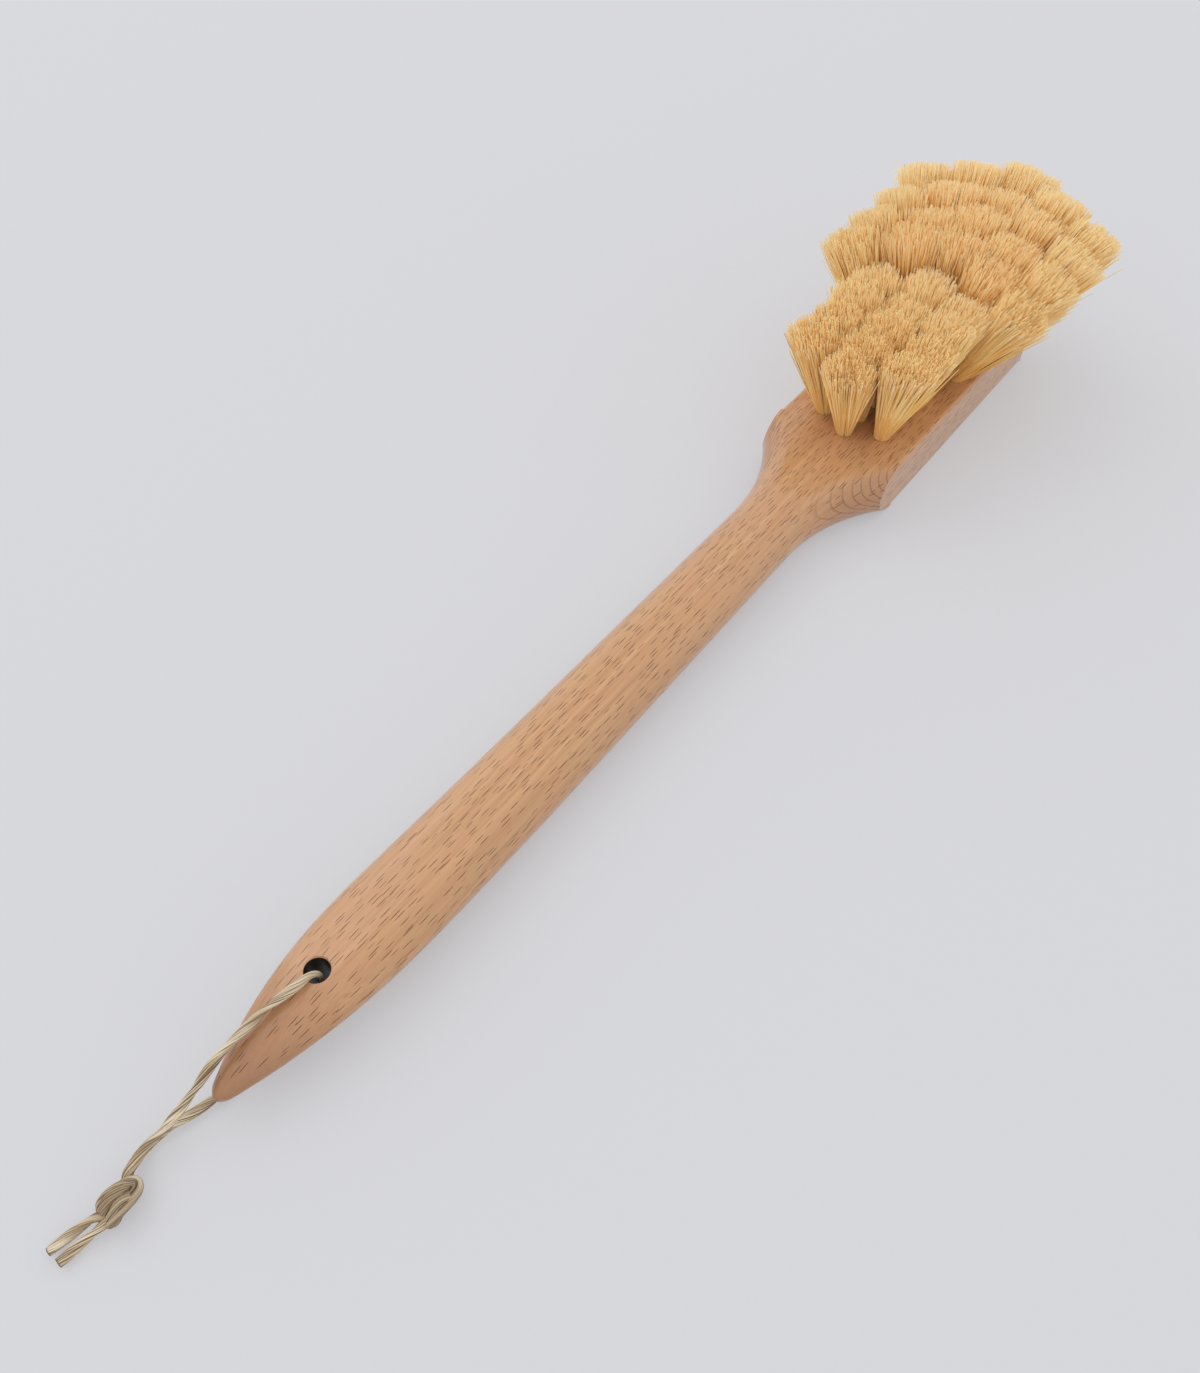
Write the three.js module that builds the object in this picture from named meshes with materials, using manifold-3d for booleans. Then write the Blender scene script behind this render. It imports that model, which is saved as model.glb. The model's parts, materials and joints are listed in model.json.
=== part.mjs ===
// Long-handled scrub brush: a one-piece beech handle and head, two groups of plant-fibre tufts
// that wire staples hold in drilled holes, and a knotted loop of twine through the handle's hole.
// Millimetres, +Z up. The brush lies on the flat back of its head with the bristles up. The origin
// is the centre of that flat back, and +X runs from the handle's tip to the head's far end.
import * as THREE from "three";
import { mergeVertices } from "three/addons/utils/BufferGeometryUtils.js";
import Module from "manifold-3d";

const wasm = await Module();
wasm.setup();

// Clearance between pieces that touch on the real brush, and how far a cut runs past a face
const GAP = 0.3;
const CUT_OVERRUN = 1;

// Tuft holes and the wood left between, around and under them: the head is as long and as wide
// as they need. The near group's side columns start a stagger after its middle one.
const TUFT_HOLE = 6.4;
const NEAR_COUNT = 5;
const NEAR_WALL = 4;
const NEAR_COLUMN_WALL = 5.9;
const NEAR_STAGGER = 6.3;
const FAR_COUNT = 4;
const FAR_WALL = 6.2;
const FAR_COLUMN_WALL = 2.5;
const GROUP_WALL = 5.8;
const SHOULDER_WALL = 11.2;
const END_WALL = 8.2;
const SIDE_WALL = 4.75;
const FLOOR_UNDER_TUFTS = 8.5;

// Bristles above the head's face, and how far their tips fan out along and across the brush
const NEAR_HEIGHT = 35.5;
const NEAR_SPREAD = 1.5;
const NEAR_FIRST_LEAN = -7;
const NEAR_LAST_LEAN = 10;
const NEAR_TIP_RADIUS = 5.6;
const FAR_HEIGHT = 42.5;
const FAR_SPREAD = 2.1;
const FAR_DOME = 3;
const FAR_TIP_RADIUS = 7.4;
// How far the first and the last tuft of each far column lean along the brush
const MIDDLE_FIRST_LEAN = 10;
const MIDDLE_LAST_LEAN = 30;
const INNER_FIRST_LEAN = 7;
const INNER_LAST_LEAN = 28;
const OUTER_FIRST_LEAN = 0;
const OUTER_LAST_LEAN = 24;
// Each far column: columns out from the middle, pitches in, and its leans
const FAR_COLUMNS = [
  { out: 0, start: 1, leans: [MIDDLE_FIRST_LEAN, MIDDLE_LAST_LEAN] },
  { out: 1, start: 0.5, leans: [INNER_FIRST_LEAN, INNER_LAST_LEAN] },
  { out: 2, start: 0, leans: [OUTER_FIRST_LEAN, OUTER_LAST_LEAN] },
];
const STRANDS_PER_TUFT = 13;
const STRAND_SIDES = 3;
const NEAR_STRAND_TIP = 1.2;
const FAR_STRAND_TIP = 1.6;
const ROOT_SPREAD = 1.7;

// Slice of the head's face that each group of strands is fused to
const SLICE_THICKNESS = 2;
const SLICE_RIM = 1.6;
const SLICE_CORNER = 3;

// Wire staple that pins each tuft's fold: its crown over the hole's bottom, its legs below it
const STAPLE_WIRE = 0.8;
const STAPLE_SPAN = 4.3;
const STAPLE_CROWN = 3;
const STAPLE_BITE = 3;

// Beech handle and head, cut from one board
const BOARD_THICKNESS = 20.5;
const HANDLE_LENGTH = 300;
const END_CORNER = 10;
const TIP_WIDTH = 4;
const BELLY_WIDTH = 29.3;
const BELLY_FROM_TIP = 72;
const NOSE_POWER = 2.5;
const NECK_WIDTH = 25.9;
const FLARE_RADIUS = 72;
const BULLNOSE = 10;
const NOSE_TOP_DROP = 9;
const NOSE_TOP_LENGTH = 60;
const HEEL_RISE = 7.2;
const HEEL_LENGTH = 130;

// Hanging hole with rounded rims, and the twine
const HOLE_DIAMETER = 7.3;
const HOLE_FROM_TIP = 39.7;
const HOLE_RIM = 1.6;
const CORD_DIAMETER = 2.8;
const CORD_SIDES = 8;
const CORD_CLEARANCE = 0.4;
const CORD_BEND = 5.8;

// Sizes that follow from the ones above
const tuftRadius = TUFT_HOLE / 2;
const tuftDepth = BOARD_THICKNESS - FLOOR_UNDER_TUFTS;
const nearPitch = TUFT_HOLE + NEAR_WALL;
const nearColumn = TUFT_HOLE + NEAR_COLUMN_WALL;
const farPitch = TUFT_HOLE + FAR_WALL;
const farColumn = TUFT_HOLE + FAR_COLUMN_WALL;
const nearSpan = (NEAR_COUNT - 1) * nearPitch;
const farSpan = FAR_COUNT * farPitch;
const groupStep = TUFT_HOLE + GROUP_WALL;
const headLength = SHOULDER_WALL + nearSpan + groupStep + farSpan + END_WALL + TUFT_HOLE;
const outermostColumn = Math.max(farColumn * (FAR_COLUMNS.length - 1), nearColumn);
const headWidth = 2 * (outermostColumn + tuftRadius + SIDE_WALL);
const shoulderX = -headLength / 2;
const farEndX = headLength / 2;
const tipX = shoulderX - HANDLE_LENGTH;
const holeX = tipX + HOLE_FROM_TIP;
const nearStartX = shoulderX + SHOULDER_WALL + tuftRadius;
const farStartX = nearStartX + nearSpan + groupStep;
const flareDepth = (headWidth - NECK_WIDTH) / 2;
const flareLength = Math.sqrt(FLARE_RADIUS ** 2 - (FLARE_RADIUS - flareDepth) ** 2);
const neckX = shoulderX - flareLength;
// Past the shoulder the flare runs on until its rounded side has left the board
const flareRest = Math.max(FLARE_RADIUS - flareDepth - BULLNOSE - GAP, 0);
const flareRunOut = Math.sqrt(FLARE_RADIUS ** 2 - flareRest ** 2);

function finish(name, color, roughness, metalness = 0) {
  return new THREE.MeshStandardMaterial({ name, color, roughness, metalness });
}
const beech = finish("beech", 0xcf9f76, 0.55);
const fibre = finish("plant_fibre", 0xd9ac6d, 0.8);
const steel = finish("staple_wire", 0xb4b2ac, 0.4, 1);
const twine = finish("twine", 0xb59371, 0.9);

// A closed geometry as a solid that can be joined and cut
function solid(geometry) {
  const bare = geometry.clone();
  bare.deleteAttribute("normal");
  bare.deleteAttribute("uv");
  const merged = mergeVertices(bare, 1e-4);
  return new wasm.Manifold(new wasm.Mesh({
    numProp: 3,
    vertProperties: new Float32Array(merged.attributes.position.array),
    triVerts: new Uint32Array(merged.index.array),
  }));
}

function geometryOf(body) {
  const mesh = body.getMesh();
  const geometry = new THREE.BufferGeometry();
  const positions = new Float32Array(mesh.vertProperties);
  geometry.setAttribute("position", new THREE.BufferAttribute(positions, 3));
  geometry.setIndex(Array.from(mesh.triVerts));
  geometry.computeVertexNormals();
  return geometry;
}

// A skin over rings of points, each ring counter-clockwise seen from the last ring's side
function skin(rings) {
  const positions = rings.flat().flatMap((point) => point.toArray());
  const count = rings[0].length;
  const index = [];
  for (let ring = 0; ring + 1 < rings.length; ring++) {
    for (let k = 0; k < count; k++) {
      const a = ring * count + k;
      const b = ring * count + (k + 1) % count;
      index.push(a, b, b + count, a, b + count, a + count);
    }
  }
  const last = (rings.length - 1) * count;
  for (let k = 1; k + 1 < count; k++) {
    index.push(0, k + 1, k, last, last + k, last + k + 1);
  }
  const geometry = new THREE.BufferGeometry();
  geometry.setAttribute("position", new THREE.Float32BufferAttribute(positions, 3));
  geometry.setIndex(index);
  return geometry;
}

function named(name, geometry, material) {
  const mesh = new THREE.Mesh(geometry, material);
  mesh.name = name;
  return mesh;
}

// Half the outline's width at x: an ogive nose, a slight taper to the neck, and the round flare
// that the board's flat sides cut off in a curved crease
function halfWidth(x) {
  const fromTip = x - tipX;
  if (fromTip < BELLY_FROM_TIP) {
    const rest = 1 - fromTip / BELLY_FROM_TIP;
    return TIP_WIDTH / 2 + (BELLY_WIDTH - TIP_WIDTH) / 2 * (1 - rest ** NOSE_POWER);
  }
  if (x < neckX) {
    const along = (fromTip - BELLY_FROM_TIP) / (neckX - tipX - BELLY_FROM_TIP);
    return (BELLY_WIDTH + (NECK_WIDTH - BELLY_WIDTH) * along) / 2;
  }
  const run = Math.min(x - neckX, flareRunOut);
  return NECK_WIDTH / 2 + FLARE_RADIUS - Math.sqrt(FLARE_RADIUS ** 2 - run ** 2);
}

// The top falls away to a low nose, and the underside lifts off the table towards the tip
function topZ(x) {
  const rest = Math.max(0, 1 - (x - tipX) / NOSE_TOP_LENGTH);
  return BOARD_THICKNESS - NOSE_TOP_DROP * rest ** NOSE_POWER;
}

function undersideZ(x) {
  const rest = Math.max(0, 1 - (x - tipX) / HEEL_LENGTH);
  return HEEL_RISE * rest ** 2 * (3 - 2 * rest);
}

// Section of the handle: flat above and below, with a rounded side
function handleRing(x) {
  const stepsPerQuarter = 4;
  const fullestRound = 0.9;
  const w = halfWidth(x);
  const round = Math.min(BULLNOSE, fullestRound * w);
  const middle = (topZ(x) + undersideZ(x)) / 2;
  const half = (topZ(x) - undersideZ(x)) / 2;
  const ring = [];
  for (let quarter = 0; quarter < 4; quarter++) {
    const side = quarter === 0 || quarter === 3 ? 1 : -1;
    for (let step = 0; step <= stepsPerQuarter; step++) {
      if (step === 0 && quarter % 2 === 0) continue;
      const turn = (quarter + step / stepsPerQuarter) * Math.PI / 2;
      const y = side * (w - round) + round * Math.cos(turn);
      ring.push(new THREE.Vector3(x, y, middle + half * Math.sin(turn)));
    }
  }
  return ring;
}

function stations(from, to, count, power = 1) {
  return Array.from({ length: count }, (_, k) => from + (to - from) * (k / count) ** power);
}

// Tufts: base centre on the head's face and tip centre
const tufts = [];

function addTuft(group, x, y, lean, height, spread) {
  const base = new THREE.Vector3(x, y, BOARD_THICKNESS);
  const tip = new THREE.Vector3(x + lean, y * spread, BOARD_THICKNESS + height);
  const axis = tip.clone().sub(base).normalize();
  const across = new THREE.Vector3(0, 1, 0).cross(axis).normalize();
  const frame = new THREE.Matrix4().makeBasis(across, axis.clone().cross(across), axis);
  tufts.push({ group, base, tip, axis, frame: frame.setPosition(base) });
}

for (const out of [-1, 0, 1]) {
  const offset = out === 0 ? 0 : NEAR_STAGGER;
  const count = out === 0 ? NEAR_COUNT : NEAR_COUNT - 1;
  for (let row = 0; row < count; row++) {
    const along = offset + row * nearPitch;
    const lean = THREE.MathUtils.lerp(NEAR_FIRST_LEAN, NEAR_LAST_LEAN, along / nearSpan);
    addTuft("near", nearStartX + along, out * nearColumn, lean, NEAR_HEIGHT, NEAR_SPREAD);
  }
}

for (const { out, start, leans } of FAR_COLUMNS) {
  for (const side of out === 0 ? [1] : [-1, 1]) {
    const height = FAR_HEIGHT - FAR_DOME * (out / (FAR_COLUMNS.length - 1)) ** 2;
    for (let row = 0; row < FAR_COUNT; row++) {
      const lean = THREE.MathUtils.lerp(...leans, row / (FAR_COUNT - 1));
      const x = farStartX + (start + row) * farPitch;
      addTuft("far", x, side * out * farColumn, lean, height, FAR_SPREAD);
    }
  }
}

// A round bar along a tuft's axis, from its hole's bottom to the middle of the slice
function tuftBar(tuft, radius, depth) {
  const sides = 8;
  const topZ = BOARD_THICKNESS - SLICE_THICKNESS / 2;
  const bottom = Array.from({ length: sides }, (_, side) => {
    const turn = side * 2 * Math.PI / sides;
    const point = new THREE.Vector3(radius * Math.cos(turn), radius * Math.sin(turn), -depth);
    return point.applyMatrix4(tuft.frame);
  });
  const top = bottom.map((point) => {
    const run = (topZ - point.z) / tuft.axis.z;
    return point.clone().addScaledVector(tuft.axis, run);
  });
  return solid(skin([bottom, top]));
}

// The staple is a bent wire: a crown across the tuft's fold and two legs down into the wood
function stapleGeometry(tuft, spare) {
  const half = STAPLE_SPAN / 2 + spare;
  const inner = STAPLE_SPAN / 2 - STAPLE_WIRE - spare;
  const top = STAPLE_CROWN + STAPLE_WIRE / 2 - tuftDepth + spare;
  const under = top - STAPLE_WIRE - 2 * spare;
  const bottom = -tuftDepth - STAPLE_BITE - spare;
  const shape = new THREE.Shape([
    [-half, bottom], [-inner, bottom], [-inner, under], [inner, under],
    [inner, bottom], [half, bottom], [half, top], [-half, top],
  ].map(([u, v]) => new THREE.Vector2(u, v)));
  const thickness = STAPLE_WIRE + 2 * spare;
  const wire = new THREE.ExtrudeGeometry(shape, { depth: thickness, bevelEnabled: false });
  wire.translate(0, 0, -thickness / 2).rotateX(Math.PI / 2);
  return wire.applyMatrix4(tuft.frame);
}

// Rounded plate under one group of tufts, its top at the head's face plus lift
function slicePlate(group, spare, depth, lift) {
  const members = tufts.filter((tuft) => tuft.group === group);
  const reach = tuftRadius + SLICE_RIM + spare;
  const corner = SLICE_CORNER + spare;
  const low = Math.min(...members.map((tuft) => tuft.base.x)) - reach;
  const high = Math.max(...members.map((tuft) => tuft.base.x)) + reach;
  const side = Math.max(...members.map((tuft) => tuft.base.y)) + reach;
  const shape = new THREE.Shape();
  shape.absarc(high - corner, side - corner, corner, 0, Math.PI / 2);
  shape.absarc(low + corner, side - corner, corner, Math.PI / 2, Math.PI);
  shape.absarc(low + corner, corner - side, corner, Math.PI, 1.5 * Math.PI);
  shape.absarc(high - corner, corner - side, corner, 1.5 * Math.PI, 2 * Math.PI);
  const options = { depth: depth + lift, bevelEnabled: false, curveSegments: 4 };
  const plate = new THREE.ExtrudeGeometry(shape, options);
  return solid(plate.translate(0, 0, BOARD_THICKNESS - depth));
}

// A strand: a slim spike from its root inside the tuft's fold to its thicker cut end, whose
// corners run counter-clockwise seen from above
function spike(root, corners) {
  const positions = [root, ...corners].flatMap((point) => point.toArray());
  const index = [];
  corners.forEach((_, k) => index.push(0, 1 + (k + 1) % corners.length, 1 + k));
  corners.slice(2).forEach((_, k) => index.push(1, k + 2, k + 3));
  const geometry = new THREE.BufferGeometry();
  geometry.setAttribute("position", new THREE.Float32BufferAttribute(positions, 3));
  geometry.setIndex(index);
  return geometry;
}

// One tuft's strands: spread evenly over the root, and the same spread at the tip, so none cross.
// The tips are trimmed level with the head's face.
function tuftStrands(tuft, tipRadius, strandTip) {
  const goldenTurn = Math.PI * (3 - Math.sqrt(5));
  const rootHeight = STAPLE_CROWN + STAPLE_WIRE - tuftDepth;
  const tipHeight = tuft.tip.distanceTo(tuft.base);
  return Array.from({ length: STRANDS_PER_TUFT }, (_, k) => {
    const reach = Math.sqrt((k + 0.5) / STRANDS_PER_TUFT);
    const turn = k * goldenTurn;
    const away = new THREE.Vector3(reach * Math.cos(turn), reach * Math.sin(turn), 0);
    const root = away.clone().multiplyScalar(ROOT_SPREAD).setZ(rootHeight);
    const tip = away.clone().multiplyScalar(tipRadius);
    const rise = tip.clone().applyMatrix4(tuft.frame).z - tuft.base.z;
    tip.setZ(tipHeight - rise / tuft.axis.z);
    const corners = Array.from({ length: STRAND_SIDES }, (_, side) => {
      const corner = turn + side * 2 * Math.PI / STRAND_SIDES;
      const edge = new THREE.Vector3(Math.cos(corner), Math.sin(corner), 0);
      return tip.clone().addScaledVector(edge, strandTip);
    });
    return solid(spike(root, corners).applyMatrix4(tuft.frame));
  });
}

function bristles(group, tipRadius, strandTip) {
  const members = tufts.filter((tuft) => tuft.group === group);
  const plugs = members.map((tuft) => tuftBar(tuft, tuftRadius - GAP, tuftDepth - GAP));
  const strands = members.flatMap((tuft) => tuftStrands(tuft, tipRadius, strandTip));
  const staples = members.map((tuft) => solid(stapleGeometry(tuft, GAP)));
  const plate = slicePlate(group, 0, SLICE_THICKNESS, 0);
  const joined = [...plugs, ...strands].reduce((whole, piece) => whole.add(piece), plate);
  return staples.reduce((whole, staple) => whole.subtract(staple), joined);
}

// The handle and head: the rounded outline, cut to the board's width and its rounded far corners
function beechBody() {
  const closerAtTheTip = 1.5;
  const nose = stations(tipX, tipX + BELLY_FROM_TIP, 12, closerAtTheTip);
  const grip = stations(tipX + BELLY_FROM_TIP, neckX, 8);
  const flare = stations(neckX, neckX + flareRunOut, 10);
  const ends = [neckX + flareRunOut, farEndX + GAP];
  const outline = solid(skin([...nose, ...grip, ...flare, ...ends].map(handleRing)));
  const side = headWidth / 2;
  const corner = END_CORNER;
  const plan = new THREE.Shape();
  plan.moveTo(tipX - GAP, -side);
  plan.lineTo(farEndX - corner, -side);
  plan.absarc(farEndX - corner, corner - side, corner, -Math.PI / 2, 0);
  plan.absarc(farEndX - corner, side - corner, corner, 0, Math.PI / 2);
  plan.lineTo(tipX - GAP, side);
  const depth = BOARD_THICKNESS + 2 * CUT_OVERRUN;
  const board = new THREE.ExtrudeGeometry(plan, { depth, bevelEnabled: false, curveSegments: 8 });
  return outline.intersect(solid(board.translate(0, 0, -CUT_OVERRUN)));
}

// The hanging hole, with both rims rounded over
function hangingHole() {
  const rimSteps = 4;
  const sides = 16;
  const rim = HOLE_DIAMETER / 2 + HOLE_RIM;
  const low = undersideZ(holeX);
  const high = topZ(holeX);
  const rimAt = (z, way) => Array.from({ length: rimSteps + 1 }, (_, step) => {
    const turn = step / rimSteps * Math.PI / 2;
    const inset = HOLE_RIM * Math.cos(turn);
    return new THREE.Vector2(rim - inset, z + way * HOLE_RIM * (1 - Math.sin(turn)));
  });
  const profile = [
    new THREE.Vector2(0, low - rim),
    new THREE.Vector2(rim, low - rim),
    ...rimAt(low, 1).reverse(),
    ...rimAt(high, -1),
    new THREE.Vector2(rim, high + rim),
    new THREE.Vector2(0, high + rim),
  ];
  const drill = new THREE.LatheGeometry(profile, sides);
  return solid(drill.rotateX(Math.PI / 2).translate(holeX, 0, 0));
}

function beechHandle() {
  const cuts = [hangingHole()];
  for (const group of ["near", "far"]) {
    cuts.push(slicePlate(group, GAP, SLICE_THICKNESS + GAP, CUT_OVERRUN));
  }
  for (const tuft of tufts) {
    cuts.push(tuftBar(tuft, tuftRadius, tuftDepth));
    cuts.push(solid(stapleGeometry(tuft, GAP)));
  }
  return cuts.reduce((whole, cut) => whole.subtract(cut), beechBody());
}

// Twine route, from the hanging hole's axis: each point is along, across and up from the table
const loopMiddleZ = (topZ(holeX) + undersideZ(holeX)) / 2;
const loopSide = CORD_BEND - HOLE_DIAMETER / 2 - HOLE_RIM - 2 * GAP;
const TOP_RUN = [
  [-14.2, 2.1, 20.7], [-24, 3.5, 19.1], [-33.7, 4.4, 16.4], [-40, 4.2, 14], [-47.8, 5.2, 8.9],
  [-54.6, 6.3, 5.5], [-59, 6.6, 4.9], [-62.4, 5.9, 5.2], [-64.8, 4.9, 5.7],
];
const UNDER_RUN = [
  [-14.4, 1.4, 2.7], [-26, 2.6, 1.8], [-36, 3.4, 1.7], [-43.5, 5, 1.7],
  [-51.3, 7.4, 1.7], [-57.7, 8.2, 1.7], [-62, 7.4, 2.1], [-65, 5.7, 2.7],
];
const TAILS = {
  cord_tail_left: [[-78, 4.3, 3.2], [-80.2, 5, 2.7], [-84.4, 6.2, 2], [-89.6, 7.3, 1.7]],
  cord_tail_right: [[-77.9, 1, 3.2], [-81.7, 1.8, 2.5], [-85.6, 2.6, 1.9], [-89.7, 3.2, 1.7]],
};
// The knot's two turns, with a waist between them
const KNOT_FROM = -77.2;
const KNOT_TO = -65.7;
const KNOT_ACROSS = 2.8;
const KNOT_UP = 4.6;
const KNOT_RADIUS = 4.3;
const KNOT_WAIST = 3.7;
const KNOT_END = 3.3;

// Up (1) or down (-1) the hole from a gap beside its middle, and round its rim
function rimBend(way) {
  const steps = 5;
  const face = way > 0 ? topZ(holeX) : undersideZ(holeX);
  const middle = face + way * (CORD_CLEARANCE + CORD_DIAMETER / 2 - CORD_BEND);
  const bend = Array.from({ length: steps }, (_, k) => {
    const turn = k / (steps - 1) * Math.PI / 2;
    return [loopSide - CORD_BEND * (1 - Math.cos(turn)), 0, middle + way * CORD_BEND * Math.sin(turn)];
  });
  return [[loopSide, 0, loopMiddleZ + way * GAP], ...bend];
}

function cordTube(route, steps) {
  const points = route.map(([along, across, up]) => new THREE.Vector3(holeX + along, across, up));
  const section = new THREE.Shape(Array.from({ length: CORD_SIDES }, (_, side) => {
    const turn = (side + 0.5) * 2 * Math.PI / CORD_SIDES;
    return new THREE.Vector2(Math.cos(turn), Math.sin(turn)).multiplyScalar(CORD_DIAMETER / 2);
  }));
  const extrudePath = new THREE.CatmullRomCurve3(points);
  return new THREE.ExtrudeGeometry(section, { steps, extrudePath, bevelEnabled: false });
}

function knotGeometry() {
  const sides = 12;
  const profile = [
    [0, 0], [KNOT_END, 0],
    [KNOT_RADIUS, 0.2], [KNOT_RADIUS, 0.36], [KNOT_WAIST, 0.5], [KNOT_RADIUS, 0.64], [KNOT_RADIUS, 0.8],
    [KNOT_END, 1], [0, 1],
  ];
  const points = profile.map(([r, share]) => new THREE.Vector2(r, share * (KNOT_TO - KNOT_FROM)));
  const knot = new THREE.LatheGeometry(points, sides);
  return knot.rotateZ(-Math.PI / 2).translate(holeX + KNOT_FROM, KNOT_ACROSS, KNOT_UP);
}

const nearBristles = bristles("near", NEAR_TIP_RADIUS, NEAR_STRAND_TIP);
const farBristles = bristles("far", FAR_TIP_RADIUS, FAR_STRAND_TIP);
const brush = new THREE.Group();
brush.add(named("beech_handle", geometryOf(beechHandle()), beech));
brush.add(named("bristles_near", geometryOf(nearBristles), fibre));
brush.add(named("bristles_far", geometryOf(farBristles), fibre));
tufts.forEach((tuft, k) => {
  const number = String(k + 1).padStart(2, "0");
  brush.add(named(`staple_${tuft.group}_${number}`, stapleGeometry(tuft, 0), steel));
});

const runSteps = 28;
const tailSteps = 3;
const loop = new THREE.Group();
loop.add(named("cord_top_run", cordTube([...rimBend(1), ...TOP_RUN], runSteps), twine));
loop.add(named("cord_under_run", cordTube([...rimBend(-1), ...UNDER_RUN], runSteps), twine));
loop.add(named("cord_knot", knotGeometry(), twine));
for (const [name, route] of Object.entries(TAILS)) {
  loop.add(named(name, cordTube(route, tailSteps), twine));
}
brush.add(loop);

export default brush;
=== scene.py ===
# %% [markdown]
# # A long-handled scrub brush
# The brush is one board of beech, tufts of plant fibre stapled into drilled holes, and a knotted
# loop of twine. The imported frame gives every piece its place, in metres. This lesson dresses it:
# first the camera and the twine, then the wood, the fibres, the staples and the light.

# %% Load the frame
import json
import math

import bmesh
import bpy
import numpy as np
from mathutils import Matrix, Vector


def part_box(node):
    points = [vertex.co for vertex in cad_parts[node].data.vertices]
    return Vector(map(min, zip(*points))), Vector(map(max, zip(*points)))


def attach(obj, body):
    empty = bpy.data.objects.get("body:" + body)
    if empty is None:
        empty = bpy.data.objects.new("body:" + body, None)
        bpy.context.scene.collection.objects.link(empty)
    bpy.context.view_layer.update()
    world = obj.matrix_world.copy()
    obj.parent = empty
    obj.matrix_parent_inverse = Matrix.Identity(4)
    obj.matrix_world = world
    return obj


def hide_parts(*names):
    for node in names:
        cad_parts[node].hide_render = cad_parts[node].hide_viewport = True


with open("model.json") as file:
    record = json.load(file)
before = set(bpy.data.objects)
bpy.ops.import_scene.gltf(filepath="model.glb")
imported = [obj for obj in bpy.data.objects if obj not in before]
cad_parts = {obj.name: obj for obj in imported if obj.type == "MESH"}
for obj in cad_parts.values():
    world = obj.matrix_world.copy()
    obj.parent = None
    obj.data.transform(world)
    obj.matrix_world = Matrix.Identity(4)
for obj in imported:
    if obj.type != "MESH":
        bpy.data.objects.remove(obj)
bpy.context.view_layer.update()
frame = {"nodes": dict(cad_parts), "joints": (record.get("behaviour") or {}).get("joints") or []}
MM = 0.001
wood_low, wood_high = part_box("beech_handle")
hole = Vector(frame["joints"][0]["pos_m"])
print("wood from", wood_low, "to", wood_high, "hanging hole at", hole)

# %% [markdown]
# ## Camera
# The photograph was taken by hand from above the handle's tip, looking down at a little over
# fifty degrees. A lens is a focal length on a sensor, so the focal length in pixels of the
# picture gives the lens in millimetres. The camera could be moved into place by eye, but a place
# and two angles as numbers are easier to correct, until the outlines agree.

# %% Camera
FOCAL_PIXELS = 1250
IMAGE_HEIGHT = 1373
SENSOR = 36
CLOSEST = 10 * MM
CAMERA_PLACE = (-0.3951, -0.1496, 0.3312)
CAMERA_TILT = math.radians(38)
CAMERA_TURN = math.radians(-52.41)
camera = bpy.data.objects.new("camera", bpy.data.cameras.new("camera"))
camera.data.sensor_width = SENSOR
camera.data.lens = SENSOR * FOCAL_PIXELS / IMAGE_HEIGHT
camera.data.clip_start = CLOSEST
camera.location = CAMERA_PLACE
camera.rotation_euler = (CAMERA_TILT, 0, CAMERA_TURN)
bpy.context.scene.collection.objects.link(camera)
bpy.context.scene.camera = camera
print("lens", round(camera.data.lens, 2), "mm")

# %% [markdown]
# ## Shader sums in Python
# A finish is a tree of nodes. Writing each Math node by hand hides the idea, so one small class
# wraps a socket: a sum of sockets adds the Math nodes, and `node` adds any other kind.


# %% Socket class
class Wire:
    """A node's output socket that can be added to, multiplied and fed to other nodes."""

    def __init__(self, tree, socket=None):
        self.tree = tree
        self.socket = socket

    def node(self, kind, settings=None, values=None, out=0):
        """Adds a node of any kind: its settings first, then the values or links of its sockets."""
        made = self.tree.nodes.new(kind)
        for name, value in (settings or {}).items():
            setattr(made, name, value)
        for name, value in (values or {}).items():
            if isinstance(value, Wire):
                self.tree.links.new(value.socket, made.inputs[name])
            else:
                made.inputs[name].default_value = value
        return Wire(self.tree, made.outputs[out])

    def maths(self, operation, first, second):
        return self.node("ShaderNodeMath", {"operation": operation}, {0: first, 1: second})

    def __add__(self, other):
        return self.maths("ADD", self, other)

    def __sub__(self, other):
        return self.maths("SUBTRACT", self, other)

    def __rsub__(self, other):
        return self.maths("SUBTRACT", other, self)

    def __mul__(self, other):
        return self.maths("MULTIPLY", self, other)

    def __truediv__(self, other):
        return self.maths("DIVIDE", self, other)

    def __rtruediv__(self, other):
        return self.maths("DIVIDE", other, self)

    __radd__ = __add__
    __rmul__ = __mul__

    def ramp(self, low, high, start=0, end=1):
        """From start, where this value is low, smoothly to end, where it is high."""
        limits = {"Value": self, 1: low, 2: high, 3: start, 4: end}
        return self.node("ShaderNodeMapRange", {"interpolation_type": "SMOOTHSTEP"}, limits)

    def mix(self, first, second):
        """first where this value is 0, second where it is 1, for colours."""
        colours = {0: self, 6: first, 7: second}
        return self.node("ShaderNodeMix", {"data_type": "RGBA"}, colours, out=2)


print("sockets take + - * and /")


# %% Finish helpers
def colour(red, green, blue):
    """A colour as a picture editor shows it, 0 to 255, as the linear light that a shader mixes."""
    light = [((c / 255 + 0.055) / 1.055) ** 2.4 for c in (red, green, blue)]
    return (*light, 1)


def new_finish(name, **fixed):
    """A material with one main shader. Returns the material, the shader and a Wire to start from."""
    material = bpy.data.materials.new(name)
    material.use_nodes = True
    shader = material.node_tree.nodes["Principled BSDF"]
    for socket, value in fixed.items():
        shader.inputs[socket.replace("_", " ")].default_value = value
    return material, shader, Wire(material.node_tree)


def feed(shader, socket, wire):
    """Links a wire to one of the shader's sockets."""
    shader.id_data.links.new(wire.socket, shader.inputs[socket])


print("shader helpers ready")

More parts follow.
